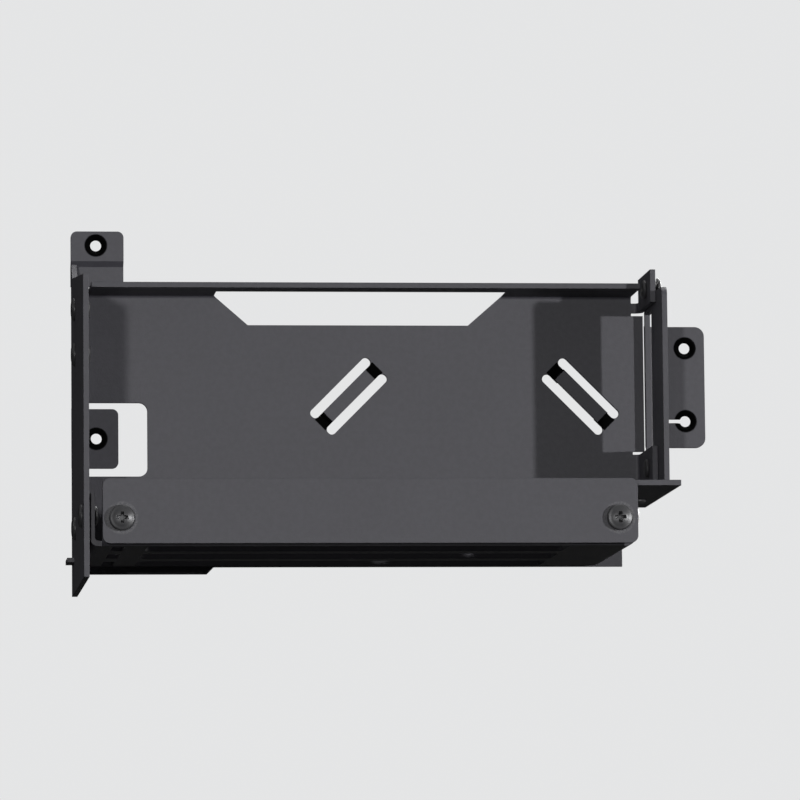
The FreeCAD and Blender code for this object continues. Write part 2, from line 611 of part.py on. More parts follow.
def buildSlotPlate():
    """Three-slot plate folded up on all sides, with a ledge at the end where the card is screwed."""
    body = newBody("slot_plate")
    lipStart = "(%s + %s + relief)" % (INNER_LEFT, FOLD)
    lipEnd = "(%s - %s - relief)" % (SEAT, FOLD)
    rim = "(box_height - face_drop)"
    front = FRONT
    rear = "(%s - fit_gap)" % REAR
    section = newSketch(body, "long_section", "YZ_Plane", lipStart)
    addLoop(section, [
        (front, FACE),
        (rear, FACE),
        (rear, "(rear_lip - face_drop)"),
        ("(%s - gauge)" % rear, "(rear_lip - face_drop)"),
        ("(%s - gauge)" % rear, "(gauge - face_drop)"),
        ("(%s + gauge)" % front, "(gauge - face_drop)"),
        ("(%s + gauge)" % front, rim),
        (front, rim),
    ])
    pad(body, section, "%s - %s" % (lipEnd, lipStart))
    fold(body, "long_folds", 0,
         [("(%s - gauge)" % rear, "(gauge - face_drop)"), ("(%s + gauge)" % front, "(gauge - face_drop)")],
         [(rear, FACE), (front, FACE)])
    ends = newSketch(body, "end_section", "XZ_Plane", "(-(%s) + %s + relief)" % (rear, FOLD))
    ledgeEnd = "(%s - gauge - ledge_gap)" % RIGHT
    addLoop(ends, [
        (INNER_LEFT, FACE),
        (SEAT, FACE),
        (SEAT, "(%s - gauge)" % rim),
        (ledgeEnd, "(%s - gauge)" % rim),
        (ledgeEnd, rim),
        ("(%s - gauge)" % SEAT, rim),
        ("(%s - gauge)" % SEAT, "(gauge - face_drop)"),
        ("(%s + gauge)" % INNER_LEFT, "(gauge - face_drop)"),
        ("(%s + gauge)" % INNER_LEFT, "(side_lip - face_drop)"),
        (INNER_LEFT, "(side_lip - face_drop)"),
    ])
    pad(body, ends, "(%s) - (%s) - 2 * %s - 2 * relief" % (rear, front, FOLD))
    fold(body, "end_folds", 1,
         [("(%s + gauge)" % INNER_LEFT, "(gauge - face_drop)"), ("(%s - gauge)" % SEAT, "(gauge - face_drop)"),
          (SEAT, "(%s - gauge)" % rim)],
         [(INNER_LEFT, FACE), (SEAT, FACE), ("(%s - gauge)" % SEAT, rim)])
    hook = newSketch(body, "hook", "XY_Plane", "(hook_lift - face_drop)")
    addBlock(hook, "(%s - hook_reach)" % WALL, "(-hook_start - hook_length)", lipStart, "(-hook_start)")
    pad(body, hook, "gauge - hook_lift")
    seats = newSketch(body, "openings", "XY_Plane", FACE)
    for index in range(int(SIZES["slot_count"])):
        place = slotPlace(index)
        addBlock(seats, "(opening_start - hole_edge)", "(%s - opening_width / 2)" % place,
                 "(opening_start + opening_length - hole_edge)", "(%s + opening_width / 2)" % place)
        addBlock(seats, "(tongue_start - hole_edge)", "(%s - tongue_length / 2)" % place,
                 "(tongue_start + tongue_width - hole_edge)", "(%s + tongue_length / 2)" % place)
    pocket(body, seats, "gauge", reverse=True)
    corners = []
    for index in range(int(SIZES["slot_count"])):
        for side in (-1, 1):
            edge = "(%s + %d * opening_width / 2)" % (slotPlace(index), side)
            corners.append(("(opening_start - hole_edge)", edge))
            corners.append(("(opening_start + opening_length - hole_edge)", edge))
    roundEdges(body, "opening_corners", 2, corners, "opening_corner")
    for index in range(int(SIZES["slot_count"])):
        drill(body, "seat_hole_%d" % (index + 1), "YZ_Plane", "(%s - 2 * gauge)" % SEAT, slotPlace(index),
              "(slot_screw_height - face_drop)", "thread", "3 * gauge")
    for side in ("left", "right"):
        drill(body, "lip_%s_nut_hole" % side, "XZ_Plane", "(-(%s) - 2 * gauge)" % front, barScrewPlace(side),
              "(bar_screw_height - face_drop)", "nut_spigot", "3 * gauge")
    for name, place in (("front", LIP_FRONT), ("rear", LIP_REAR)):
        drill(body, "lip_%s_rivet_hole" % name, "YZ_Plane", "(%s - gauge)" % INNER_LEFT, place, LIP_HEIGHT, "rivet",
              "3 * gauge")
    for name, place in (("front", FOOT_FRONT), ("rear", FOOT_REAR)):
        drill(body, "ledge_%s_rivet_hole" % name, "XY_Plane", "(%s - 2 * gauge)" % rim, FOOT_RIVET, place, "rivet",
              "3 * gauge")
    return body


def buildClampBar():
    """Flat bar across the front of the slot plate."""
    body = newBody("clamp_bar")
    low = "(bar_base - face_drop)"
    high = "(box_height - face_drop)"
    start = "(bar_start - hole_edge)"
    outline = newSketch(body, "bar_outline", "XZ_Plane", "(-(%s))" % FRONT)
    addBlock(outline, start, low, SEAT, high)
    pad(body, outline, "bar_gauge")
    roundEdges(body, "bar_corners", 1, [(start, low), (start, high), (SEAT, low), (SEAT, high)], "bar_corner")
    for side in ("left", "right"):
        drill(body, "bar_%s_hole" % side, "XZ_Plane", "(-(%s))" % FRONT, barScrewPlace(side),
              "(bar_screw_height - face_drop)", "thread + 2 * shank_play", "2 * bar_gauge")
    return body


def addCylinder(name, diameter, length, lift):
    """Round blank along its own Z axis, from a height above its base point."""
    blank = document.addObject("Part::Cylinder", name)
    blank.setExpression("Radius", bound("(%s) / 2" % diameter))
    blank.setExpression("Height", bound(length))
    blank.setExpression(".Placement.Base.z", bound(lift))
    return blank


def fuse(name, shapes):
    joined = document.addObject("Part::MultiFuse", name)
    joined.Shapes = shapes
    return joined


def cut(name, base, tools):
    result = document.addObject("Part::Cut", name)
    result.Base = base
    result.Tool = fuse(name + "_tools", tools) if len(tools) > 1 else tools[0]
    return result


def soften(name, base, rim, radius):
    """Rounds the circular edges at one height of a turned piece."""
    document.recompute()
    height = number(rim)
    picked = []
    for count, edge in enumerate(base.Shape.Edges, start=1):
        ring = isinstance(edge.Curve, Part.Circle) and len(edge.Vertexes) == 1
        if ring and abs(edge.Curve.Center.z - height) < 1e-5 and edge.Curve.Radius > number("thread") / 2 + 0.2:
            picked.append((count, number(radius), number(radius)))
    result = document.addObject("Part::Fillet", name)
    result.Base = base
    result.Edges = picked
    return result


def place(feature, label, across, along, up, axis):
    """Sets a turned piece at its place with its Z axis along the given direction."""
    feature.Label = label
    feature.Placement = FreeCAD.Placement(FreeCAD.Vector(0, 0, 0), FreeCAD.Rotation(FreeCAD.Vector(0, 0, 1), axis))
    feature.setExpression(".Placement.Base.x", bound(across))
    feature.setExpression(".Placement.Base.y", bound(along))
    feature.setExpression(".Placement.Base.z", bound(up))
    return feature


def makeScrew(label, grip, across, along, up, axis):
    """Pan-head screw with a cross recess. Its base point is under the head, and it points along its axis."""
    shank = addCylinder(label + "_shank", "thread", "(%s)" % grip, "0")
    head = addCylinder(label + "_head", "head_width", "head_height", "(-head_height)")
    blank = soften(label + "_blank", fuse(label + "_joined", [shank, head]), "(-head_height)", "head_height * 0.4")
    tools = []
    for turn, name in enumerate(("long", "cross")):
        slot = document.addObject("Part::Box", "%s_%s_slot" % (label, name))
        length, width = ("recess_width", "recess_slot") if turn == 0 else ("recess_slot", "recess_width")
        slot.setExpression("Length", bound(length))
        slot.setExpression("Width", bound(width))
        slot.setExpression("Height", bound("recess_depth + gauge"))
        slot.setExpression(".Placement.Base.x", bound("-%s / 2" % length))
        slot.setExpression(".Placement.Base.y", bound("-%s / 2" % width))
        slot.setExpression(".Placement.Base.z", bound("-head_height - gauge"))
        tools.append(slot)
    return place(cut(label, blank, tools), label, across, along, up, axis)


def makeRivet(label, across, along, up, axis):
    """Pulled blind rivet through two sheets, its hollow open at the head."""
    grip = "(2 * gauge + fit_gap)"
    shank = addCylinder(label + "_shank", "rivet", grip, "0")
    head = addCylinder(label + "_head", "rivet_head", "rivet_rise", "(-rivet_rise)")
    tail = addCylinder(label + "_tail", "rivet_tail", "rivet_rise", grip)
    blank = soften(label + "_blank", fuse(label + "_joined", [shank, head, tail]), "(-rivet_rise)",
                   "rivet_rise * 0.6")
    bore = addCylinder(label + "_bore", "rivet_pin", "rivet_rise + gauge", "(-rivet_rise)")
    return place(cut(label, blank, [bore]), label, across, along, up, axis)


def makeNut(label, across, along, up, axis):
    """Clinch nut, its spigot in the lip and its flange behind it."""
    flange = addCylinder(label + "_flange", "nut_width", "nut_height", "gauge")
    spigot = addCylinder(label + "_spigot", "nut_spigot", "gauge", "0")
    bore = addCylinder(label + "_bore", "thread", "gauge + nut_height", "0")
    return place(cut(label, fuse(label + "_joined", [flange, spigot]), [bore]), label, across, along, up, axis)


ALONG_X = FreeCAD.Vector(1, 0, 0)
AGAINST_X = FreeCAD.Vector(-1, 0, 0)
ALONG_Y = FreeCAD.Vector(0, 1, 0)
DOWN = FreeCAD.Vector(0, 0, -1)

pieces = [buildTray(), buildLeftWall(), buildRightWall(), buildSlotPlate(), buildClampBar()]

screwHeight = "(bar_screw_height - face_drop)"
for side in ("left", "right"):
    pieces.append(makeScrew("bar_screw_" + side, "(bar_gauge + gauge + nut_height)", barScrewPlace(side),
                            "(%s - bar_gauge)" % FRONT, screwHeight, ALONG_Y))
    pieces.append(makeNut("clinch_nut_" + side, barScrewPlace(side), FRONT, screwHeight, ALONG_Y))
for index in range(int(SIZES["slot_count"])):
    pieces.append(makeScrew("slot_screw_%d" % (index + 1), "slot_screw_length", SEAT, slotPlace(index),
                            "(slot_screw_height - face_drop)", AGAINST_X))
for name, height in (("upper", UPPER_RIVET), ("lower", LOWER_RIVET)):
    pieces.append(makeRivet("rivet_left_" + name, WALL, LEFT_RIVET, height, ALONG_X))
for name, along in (("front", LIP_FRONT), ("rear", LIP_REAR)):
    pieces.append(makeRivet("rivet_lip_" + name, WALL, along, LIP_HEIGHT, ALONG_X))
for name, height in (("upper", RIGHT_UPPER), ("lower", RIGHT_LOWER)):
    pieces.append(makeRivet("rivet_right_" + name, RIGHT, RIGHT_RIVET, height, AGAINST_X))
for name, along in (("front", FOOT_FRONT), ("rear", FOOT_REAR)):
    pieces.append(makeRivet("rivet_foot_" + name, FOOT_RIVET, along,
                            "(box_height + fit_gap + gauge - face_drop)", DOWN))

document.recompute()
for item in document.Objects:
    if "Invalid" in item.State or "Error" in item.State:
        raise RuntimeError("failed object: " + item.Name)
os.makedirs("parts", exist_ok=True)
for piece in pieces:
    if piece.Shape.isNull() or not piece.Shape.isValid():
        raise RuntimeError("bad shape: " + piece.Label)
    piece.Shape.exportStep("parts/%s.step" % piece.Label)
    print(piece.Label, "solids", len(piece.Shape.Solids), "volume", round(piece.Shape.Volume, 1))
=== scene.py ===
import math

import bmesh
import bpy
from mathutils import Matrix, Vector


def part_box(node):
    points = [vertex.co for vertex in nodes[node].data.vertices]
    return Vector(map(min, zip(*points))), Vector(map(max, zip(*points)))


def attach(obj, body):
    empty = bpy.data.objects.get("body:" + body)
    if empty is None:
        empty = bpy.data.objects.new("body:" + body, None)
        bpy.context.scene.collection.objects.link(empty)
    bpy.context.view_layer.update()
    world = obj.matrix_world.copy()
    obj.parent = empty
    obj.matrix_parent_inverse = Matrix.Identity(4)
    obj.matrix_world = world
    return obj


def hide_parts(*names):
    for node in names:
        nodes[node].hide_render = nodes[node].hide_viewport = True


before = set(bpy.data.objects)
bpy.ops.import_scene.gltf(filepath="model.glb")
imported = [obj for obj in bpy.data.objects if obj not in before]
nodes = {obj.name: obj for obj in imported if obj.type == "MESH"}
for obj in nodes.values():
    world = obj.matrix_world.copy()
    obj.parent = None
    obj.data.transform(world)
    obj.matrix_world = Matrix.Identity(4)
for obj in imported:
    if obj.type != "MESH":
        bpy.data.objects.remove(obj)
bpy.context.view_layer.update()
print("bracket loaded:", len(nodes), "pieces")

mm = 0.001
weld = 0.002 * mm           # points nearer than this become one
level = 1e-7                # metres, heights nearer than this count as one


def clearSelection():
    if bpy.context.object and bpy.context.object.mode != "OBJECT":
        bpy.ops.object.mode_set(mode="OBJECT")
    bpy.ops.object.select_all(action="DESELECT")


def pick(piece):
    clearSelection()
    bpy.context.view_layer.objects.active = piece
    piece.select_set(True)


clearSelection()


class Wire:
    # one socket of a material, so that shading is written as plain sums
    def __init__(self, tree, socket):
        self.tree = tree
        self.socket = socket

    def node(self, kind, settings, sockets, output=0):
        made = self.tree.nodes.new(kind)
        for name, value in settings.items():
            setattr(made, name, value)
        for name, value in sockets.items():
            if isinstance(value, Wire):
                self.tree.links.new(value.socket, made.inputs[name])
            else:
                made.inputs[name].default_value = value
        return Wire(self.tree, made.outputs[output])

    def sums(self, operation, first, second):
        return self.node("ShaderNodeMath", {"operation": operation}, {0: first, 1: second})

    def __add__(self, other):
        return self.sums("ADD", self, other)

    def __radd__(self, other):
        return self.sums("ADD", other, self)

    def __sub__(self, other):
        return self.sums("SUBTRACT", self, other)

    def __rsub__(self, other):
        return self.sums("SUBTRACT", other, self)

    def __mul__(self, other):
        return self.sums("MULTIPLY", self, other)

    def __rmul__(self, other):
        return self.sums("MULTIPLY", other, self)


def openMaterial(name):
    material = bpy.data.materials.new(name)
    material.use_nodes = True
    tree = material.node_tree
    shader = tree.nodes["Principled BSDF"]
    place = tree.nodes.new("ShaderNodeTexCoord")
    return material, tree, shader, Wire(tree, place.outputs["Object"])


def link(tree, wire, shader, name):
    tree.links.new(wire.socket, shader.inputs[name])


def noise(place, size, detail=2.0, rough=0.5):
    # size is the width of one blotch in mm
    return place.node("ShaderNodeTexNoise", {"noise_dimensions": "3D"},
                      {"Vector": place, "Scale": 1.0 / (size * mm), "Detail": detail, "Roughness": rough}, "Fac")


def stretched(place, sizes, slant=(0.0, 0.0, 0.0)):
    # noise drawn out to sizes in mm along each axis
    drawn = place.node("ShaderNodeMapping", {"vector_type": "POINT"},
                       {"Vector": place, "Rotation": slant, "Scale": tuple(1.0 / (size * mm) for size in sizes)})
    return place.node("ShaderNodeTexNoise", {"noise_dimensions": "3D"},
                      {"Vector": drawn, "Scale": 1.0, "Detail": 3.0, "Roughness": 0.6}, "Fac")


def window(value, low, high, outLow=0.0, outHigh=1.0):
    # eases value from outLow to outHigh between low and high
    return value.node("ShaderNodeMapRange", {"interpolation_type": "SMOOTHSTEP", "clamp": True},
                      {"Value": value, "From Min": low, "From Max": high, "To Min": outLow, "To Max": outHigh},
                      "Result")


def blendColours(mask, first, second):
    return mask.node("ShaderNodeMix", {"data_type": "RGBA", "blend_type": "MIX", "clamp_factor": True},
                     {"Factor": mask, 6: first, 7: second}, 2)


def edgeNormal(place, radius):
    # normal of the surface with its edges rounded off, and a mask of those edges
    rounded = place.node("ShaderNodeBevel", {"samples": 6}, {"Radius": radius * mm})
    flat = place.node("ShaderNodeNewGeometry", {}, {}, "True Normal")
    along = place.node("ShaderNodeVectorMath", {"operation": "DOT_PRODUCT"}, {0: rounded, 1: flat}, "Value")
    return rounded, 1.0 - along


def bumped(place, strength, depth, height, normal):
    # depth is in mm
    return place.node("ShaderNodeBump", {}, {"Strength": strength, "Distance": depth * mm, "Height": height,
                                             "Normal": normal})


def upward(place):
    facing = place.node("ShaderNodeNewGeometry", {}, {}, "Normal")
    return place.node("ShaderNodeSeparateXYZ", {}, {"Vector": facing}, "Z")


def ringMask(place, centre, inner, outer, softInner=0.25, softOuter=0.35):
    # soft ring round a centre, its radii and soft edges in mm
    far = place.node("ShaderNodeVectorMath", {"operation": "DISTANCE"}, {0: place, 1: tuple(centre)}, "Value")
    outside = window(far, inner * mm, (inner + softInner) * mm)
    return outside * window(far, (outer - softOuter) * mm, outer * mm, 1.0, 0.0)


# sprayed powder coat of the folded sheets
coatLook = {
    "colour": (0.055, 0.054, 0.064, 1.0),
    "colourLow": (0.045, 0.044, 0.053, 1.0),
    "worn": (0.150, 0.150, 0.155, 1.0),
    "dust": (0.200, 0.195, 0.185, 1.0),
    "paintedShade": (0.006, 0.006, 0.006, 1.0),    # painted shade: black painted on the tie ends and hole rims in place of their shadow
    "roughness": 0.56,
    "cloud": 21.0,          # mm, wide blotches of the coat
    "cloudRange": (0.3, 0.7),
    "grain": 0.34,          # mm, pebbles of the sprayed powder
    "speckle": 1.3,         # mm, faint mottling of the coat
    "speckleRange": (0.35, 0.65),
    "swell": 2.6,           # mm, slow waves of the coat
    "edge": 0.16,           # mm, rounding of the coated edges
    "edgeRange": (0.02, 0.22),
    "edgeWear": 0.07,
    "chip": 1.1,            # mm, gaps in the worn edges
    "chipRange": (0.47, 0.62),
    "chipShare": 0.70,
    "scratch": (14.0, 14.0, 0.16),         # mm along each axis
    "scratchSlant": (0.0, 0.5, 0.3),
    "scratchRange": (0.66, 0.72),
    "scratchShare": 0.08,
    "ringShare": 0.5,       # rub marks round the screw heads, broken up by the grain
    "ringRange": (0.35, 0.65),
    "dustBlotch": 6.0,      # mm
    "dustRange": (0.35, 0.75),
    "dustSlope": (0.55, 0.98),             # how far a face looks up before dust lies on it
    "dustShare": 0.12,
    "coatGloss": 0.10,      # how far each of these moves the roughness
    "wornGloss": 0.10,
    "dustGloss": 0.8,
    # rougher where the shade is painted black, so it shows no sheen
    "paintedShadeGloss": 0.40,
    "fineBump": (0.75, 0.03),              # strength, and depth in mm
    "slowBump": (0.25, 0.05),
    "bend": 1.52,           # index of refraction of the coat
    "holeShadeRim": (0.2, 2.75),                # mm, inner and outer radius of the painted shade round a hole
}

# strips between the cable-tie slots, their middles and the painted shade at their ends in mm
tieStrips = [{"x": 57.5, "z": -12.20, "tilt": 1}, {"x": 110.70, "z": -12.20, "tilt": -1}]
tieShape = {"start": 6.75, "stop": 9.25, "halfWidth": 1.6, "soft": 0.2}


def shadedTieEnds(place, strip, shape=tieShape):
    # mask of the ends of a cable-tie strip, where painted shade makes the coat matt black
    x = place.node("ShaderNodeSeparateXYZ", {}, {"Vector": place}, "X") - strip["x"] * mm
    z = place.node("ShaderNodeSeparateXYZ", {}, {"Vector": place}, "Z") - strip["z"] * mm
    along = (x + strip["tilt"] * z) * math.sqrt(0.5)
    across = (z - strip["tilt"] * x) * math.sqrt(0.5)
    along = along.node("ShaderNodeMath", {"operation": "ABSOLUTE"}, {0: along})
    across = across.node("ShaderNodeMath", {"operation": "ABSOLUTE"}, {0: across})
    start, stop, half, soft = shape["start"], shape["stop"], shape["halfWidth"], shape["soft"]
    ends = window(along, start * mm, (start + soft) * mm) * window(along, stop * mm, (stop + soft) * mm, 1.0, 0.0)
    return ends * window(across, half * mm, (half + soft) * mm, 1.0, 0.0)


def powderCoat(name, rings=(), ties=(), holes=(), look=coatLook):
    material, tree, shader, place = openMaterial(name)
    cloud = noise(place, look["cloud"], 3.0)
    grain = noise(place, look["grain"], 2.0, 0.6)
    speckle = noise(place, look["speckle"], 3.0, 0.6)
    swell = noise(place, look["swell"], 1.5)
    rounded, edge = edgeNormal(place, look["edge"])
    chips = window(noise(place, look["chip"], 3.0, 0.7), *look["chipRange"])
    worn = window(edge, *look["edgeRange"]) * ((1.0 - look["chipShare"]) + look["chipShare"] * chips)
    lines = stretched(place, look["scratch"], look["scratchSlant"])
    scratches = window(lines, *look["scratchRange"]) * look["scratchShare"]
    for centre, inner, outer in rings:
        rubbed = look["ringShare"] * ringMask(place, centre, inner, outer)
        scratches = scratches + rubbed * window(grain, *look["ringRange"])
    settled = window(noise(place, look["dustBlotch"], 4.0, 0.65), *look["dustRange"])
    dust = window(upward(place), *look["dustSlope"]) * settled * look["dustShare"]
    mottled = 0.5 * window(cloud, *look["cloudRange"]) + 0.5 * window(speckle, *look["speckleRange"])
    body = blendColours(mottled, look["colourLow"], look["colour"])
    body = blendColours(worn * look["edgeWear"], body, look["worn"])
    body = blendColours(scratches, body, look["worn"])
    body = blendColours(dust, body, look["dust"])
    gloss = look["roughness"] + look["coatGloss"] * (cloud - 0.5) + look["coatGloss"] * (grain - 0.5)
    gloss = gloss - look["wornGloss"] * worn + look["dustGloss"] * dust
    # painted shade: the tie ends and the rims of the screw holes are painted black in place of their shadow, and
    # made metallic so they lose the coat's sheen
    paintedShadeMasks = [shadedTieEnds(place, strip) for strip in ties]
    paintedShadeMasks += [ringMask(place, (x * mm, y * mm, z * mm), *look["holeShadeRim"]) for x, y, z in holes]
    for paintedShadeMask in paintedShadeMasks:
        body = blendColours(paintedShadeMask, body, look["paintedShade"])
        gloss = gloss + look["paintedShadeGloss"] * paintedShadeMask
    if paintedShadeMasks:
        link(tree, sum(paintedShadeMasks), shader, "Metallic")
    fine = bumped(place, *look["fineBump"], grain, rounded)
    link(tree, body, shader, "Base Color")
    link(tree, gloss, shader, "Roughness")
    link(tree, bumped(place, *look["slowBump"], swell, fine), shader, "Normal")
    shader.inputs["IOR"].default_value = look["bend"]
    return material


metalLook = {
    "blackZinc": {"colour": (0.070, 0.070, 0.073, 1.0), "colourLow": (0.050, 0.050, 0.053, 1.0),
                  "bare": (0.300, 0.300, 0.305, 1.0), "metallic": 0.30, "roughness": 0.38, "bareShare": 0.45},
    "brightZinc": {"colour": (0.560, 0.570, 0.590, 1.0), "colourLow": (0.440, 0.450, 0.470, 1.0),
                   "bare": (0.720, 0.720, 0.730, 1.0), "metallic": 1.0, "roughness": 0.33, "bareShare": 0.40},
    "blackRivet": {"colour": (0.050, 0.050, 0.052, 1.0), "colourLow": (0.036, 0.036, 0.038, 1.0),
                   "bare": (0.300, 0.300, 0.305, 1.0), "metallic": 0.25, "roughness": 0.40, "bareShare": 0.30},
    "rivetPin": {"colour": (0.300, 0.300, 0.310, 1.0), "colourLow": (0.180, 0.180, 0.185, 1.0),
                 "bare": (0.500, 0.500, 0.510, 1.0), "metallic": 1.0, "roughness": 0.42, "bareShare": 0.30},
}

# scratches, wear and blotches that all four metals share
plateGrain = {
    "cloud": 1.6,           # mm
    "lines": (0.09, 0.09, 1.2),            # mm along each axis
    "edge": 0.12,           # mm, rounding of the edges
    "edgeRange": (0.03, 0.25),
    "rub": 0.5,             # mm, gaps in the rubbed edges
    "rubRange": (0.40, 0.60),
    "lineGloss": 0.16,      # how far each of these moves the roughness
    "cloudGloss": 0.10,
    "rubGloss": 0.06,
    "bump": (0.25, 0.01),                  # strength, and depth in mm
}


def platedMetal(name, look, grain=plateGrain):
    material, tree, shader, place = openMaterial(name)
    cloud = noise(place, grain["cloud"], 3.0, 0.6)
    lines = stretched(place, grain["lines"])
    rounded, edge = edgeNormal(place, grain["edge"])
    rub = window(edge, *grain["edgeRange"]) * window(noise(place, grain["rub"]), *grain["rubRange"])
    rub = rub * look["bareShare"]
    body = blendColours(cloud, look["colourLow"], look["colour"])
    body = blendColours(rub, body, look["bare"])
    gloss = look["roughness"] + grain["lineGloss"] * (lines - 0.5) + grain["cloudGloss"] * (cloud - 0.5)
    link(tree, body, shader, "Base Color")
    link(tree, gloss - grain["rubGloss"] * rub, shader, "Roughness")
    link(tree, bumped(place, *grain["bump"], lines, rounded), shader, "Normal")
    shader.inputs["Metallic"].default_value = look["metallic"]
    return material


def finish(piece, *materials):
    piece.data.materials.clear()
    for material in materials:
        piece.data.materials.append(material)


finishes = {name: platedMetal(name, look) for name, look in metalLook.items()}
print("finishes made")


def startRing(name, radius, height, corners):
    clearSelection()
    bpy.ops.mesh.primitive_circle_add(vertices=corners, radius=radius, fill_type="NOTHING", location=(0, 0, height))
    piece = bpy.context.object
    piece.name = name
    piece.data.name = name
    bpy.ops.object.transform_apply(location=True, rotation=True, scale=True)
    return piece


def turn(name, profile, corners, hollow=False):
    # draws a profile of (radius, height) pairs in mm round the Z axis, ring by ring
    radius, height = profile[0]
    piece = startRing(name, radius * mm, height * mm, corners)
    bpy.ops.object.mode_set(mode="EDIT")
    bpy.ops.mesh.select_all(action="SELECT")
    if not hollow:
        bpy.ops.mesh.edge_face_add()
        bpy.ops.mesh.select_all(action="SELECT")
    draw = bpy.ops.mesh.extrude_edges_move if hollow else bpy.ops.mesh.extrude_region_move
    for nextRadius, nextHeight in profile[1:]:
        draw(TRANSFORM_OT_translate={"value": (0, 0, (nextHeight - height) * mm)})
        growth = nextRadius / radius
        bpy.ops.transform.resize(value=(growth, growth, 1.0), center_override=(0, 0, nextHeight * mm))
        radius, height = nextRadius, nextHeight
    bpy.ops.mesh.select_all(action="SELECT")
    bpy.ops.mesh.remove_doubles(threshold=weld)
    bpy.ops.mesh.select_all(action="SELECT")
    bpy.ops.mesh.normals_make_consistent(inside=False)
    bpy.ops.object.mode_set(mode="OBJECT")
    return piece


def cutAway(piece, tool):
    # takes a tool's shape out of a piece and throws the tool away
    pick(piece)
    cut = piece.modifiers.new("cut", "BOOLEAN")
    cut.operation = "DIFFERENCE"
    cut.solver = "EXACT"
    cut.object = tool
    bpy.ops.object.modifier_apply(modifier=cut.name)
    drop(tool)


def smoothByAngle(piece, degrees):
    pick(piece)
    bpy.ops.object.shade_smooth_by_angle(angle=math.radians(degrees))


def setDown(pattern, node, direction, headHeight):
    # copies a finished pattern onto the place of a CAD node, its tip along the direction
    low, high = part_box(node)
    place = (low + high) / 2
    for axis in range(3):
        if direction[axis] > 0.5:
            place[axis] = low[axis] + headHeight * mm
        elif direction[axis] < -0.5:
            place[axis] = high[axis] - headHeight * mm
    piece = pattern.copy()
    piece.data = pattern.data.copy()
    piece.name = node + "_shaped"
    piece.data.name = piece.name
    bpy.context.scene.collection.objects.link(piece)
    turned = Vector(direction).to_track_quat("Z", "Y").to_matrix().to_4x4()
    pick(piece)
    piece.matrix_world = Matrix.Translation(place) @ turned
    bpy.ops.object.transform_apply(location=True, rotation=True, scale=True)
    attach(piece, "root")
    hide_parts(node)
    return piece


def drop(piece):
    bpy.data.objects.remove(piece, do_unlink=True)


# cross-head screws of the bar and the slots, in mm from under the head, tip upwards
screwShape = {
    "barLength": 4.3,
    "slotLength": 5.0,
    "headRadius": 2.8,
    "headHeight": 1.9,
    "crown": 0.55,          # how far the head's top is domed
    "round": (0.55, 0.42),                 # how far the round of the head's edge goes in and down
    "roundSteps": 5,
    "crownSteps": 5.6,      # a little over roundSteps, which leaves a small flat in the middle
    "rim": 0.12,            # chamfer under the head
    "neck": (0.5, 0.10),                   # plain length under the head, and its fillet
    "shank": 1.5,
    "tip": 0.45,
    "tipShare": 0.62,       # of the shank's radius
    "threadStart": 0.9,
    "threadStop": 0.6,      # from the tip
    "threadDepth": 0.22,
    "pitch": 0.5,
    "ridge": (0.12, 0.55, 0.68),           # crest, root and end of root, as shares of the pitch
    "recess": 1.62,         # half width of the cross recess
    "recessSlot": 0.86,
    "recessDepth": 1.25,
    "recessTaper": (0.42, 0.72),           # shares of the recess and its slot that are left at its floor
    "spare": 0.5,           # how far the cutting tool stands over the head
    "corners": 40,
    "smoothAngle": 32,
}


def threadRings(shape, start, stop):
    # ridges of a thread as triples of rings, from start to stop
    rings = []
    height, pitch, major = start, shape["pitch"], shape["shank"]
    crest, root, rootEnd = shape["ridge"]
    while height + pitch <= stop:
        rings += [(major, height + crest * pitch), (major - shape["threadDepth"], height + root * pitch),
                  (major - shape["threadDepth"], height + rootEnd * pitch)]
        height += pitch
    return rings


def recessTool(shape, turnBy):
    # one bar of the cross recess, tapered towards its floor
    depth, spare = shape["recessDepth"], shape["spare"]
    clearSelection()
    bpy.ops.mesh.primitive_cube_add(size=1.0, location=(0, 0, -(shape["headHeight"] - depth / 2 + spare / 2) * mm))
    tool = bpy.context.object
    tool.scale = (2 * shape["recess"] * mm, shape["recessSlot"] * mm, (depth + spare) * mm)
    tool.rotation_euler = (0, 0, math.radians(turnBy))
    bpy.ops.object.transform_apply(location=True, rotation=True, scale=True)
    deep = max(vertex.co.z for vertex in tool.data.vertices)
    bpy.ops.object.mode_set(mode="EDIT")
    bpy.ops.mesh.select_all(action="DESELECT")
    bpy.ops.mesh.select_mode(type="FACE")
    edit = bmesh.from_edit_mesh(tool.data)
    for face in edit.faces:
        face.select_set(all(abs(corner.co.z - deep) < level for corner in face.verts))
    bmesh.update_edit_mesh(tool.data)
    along, across = shape["recessTaper"]
    bpy.ops.transform.resize(value=(along, across, 1.0) if turnBy == 0 else (across, along, 1.0))
    bpy.ops.object.mode_set(mode="OBJECT")
    return tool


def makeScrew(name, length, shape=screwShape):
    radius, height, crown, shank = shape["headRadius"], shape["headHeight"], shape["crown"], shape["shank"]
    inward, downward = shape["round"]
    neck, fillet = shape["neck"]
    steps, rim = shape["roundSteps"], shape["rim"]
    side = height - crown - downward    # straight part of the head's side
    profile = [(shape["tipShare"] * shank, length), (shank, length - shape["tip"])]
    profile += reversed(threadRings(shape, shape["threadStart"], length - shape["threadStop"]))
    profile += [(shank, neck), (shank, fillet), (shank + fillet, 0.0), (radius - rim, 0.0), (radius, -rim),
                (radius, -side)]
    for step in range(1, steps + 1):
        swing = math.radians(90 * step / steps)
        profile.append((radius - inward * (1 - math.cos(swing)), -side - downward * math.sin(swing)))
    for step in range(1, steps + 1):
        reach = (radius - inward) * (1 - step / shape["crownSteps"])
        profile.append((reach, -(height - crown * (reach / (radius - inward)) ** 2)))
    screw = turn(name, profile, shape["corners"])
    for turnBy in (0, 90):
        cutAway(screw, recessTool(shape, turnBy))
    finish(screw, finishes["blackZinc"])
    smoothByAngle(screw, shape["smoothAngle"])
    return screw


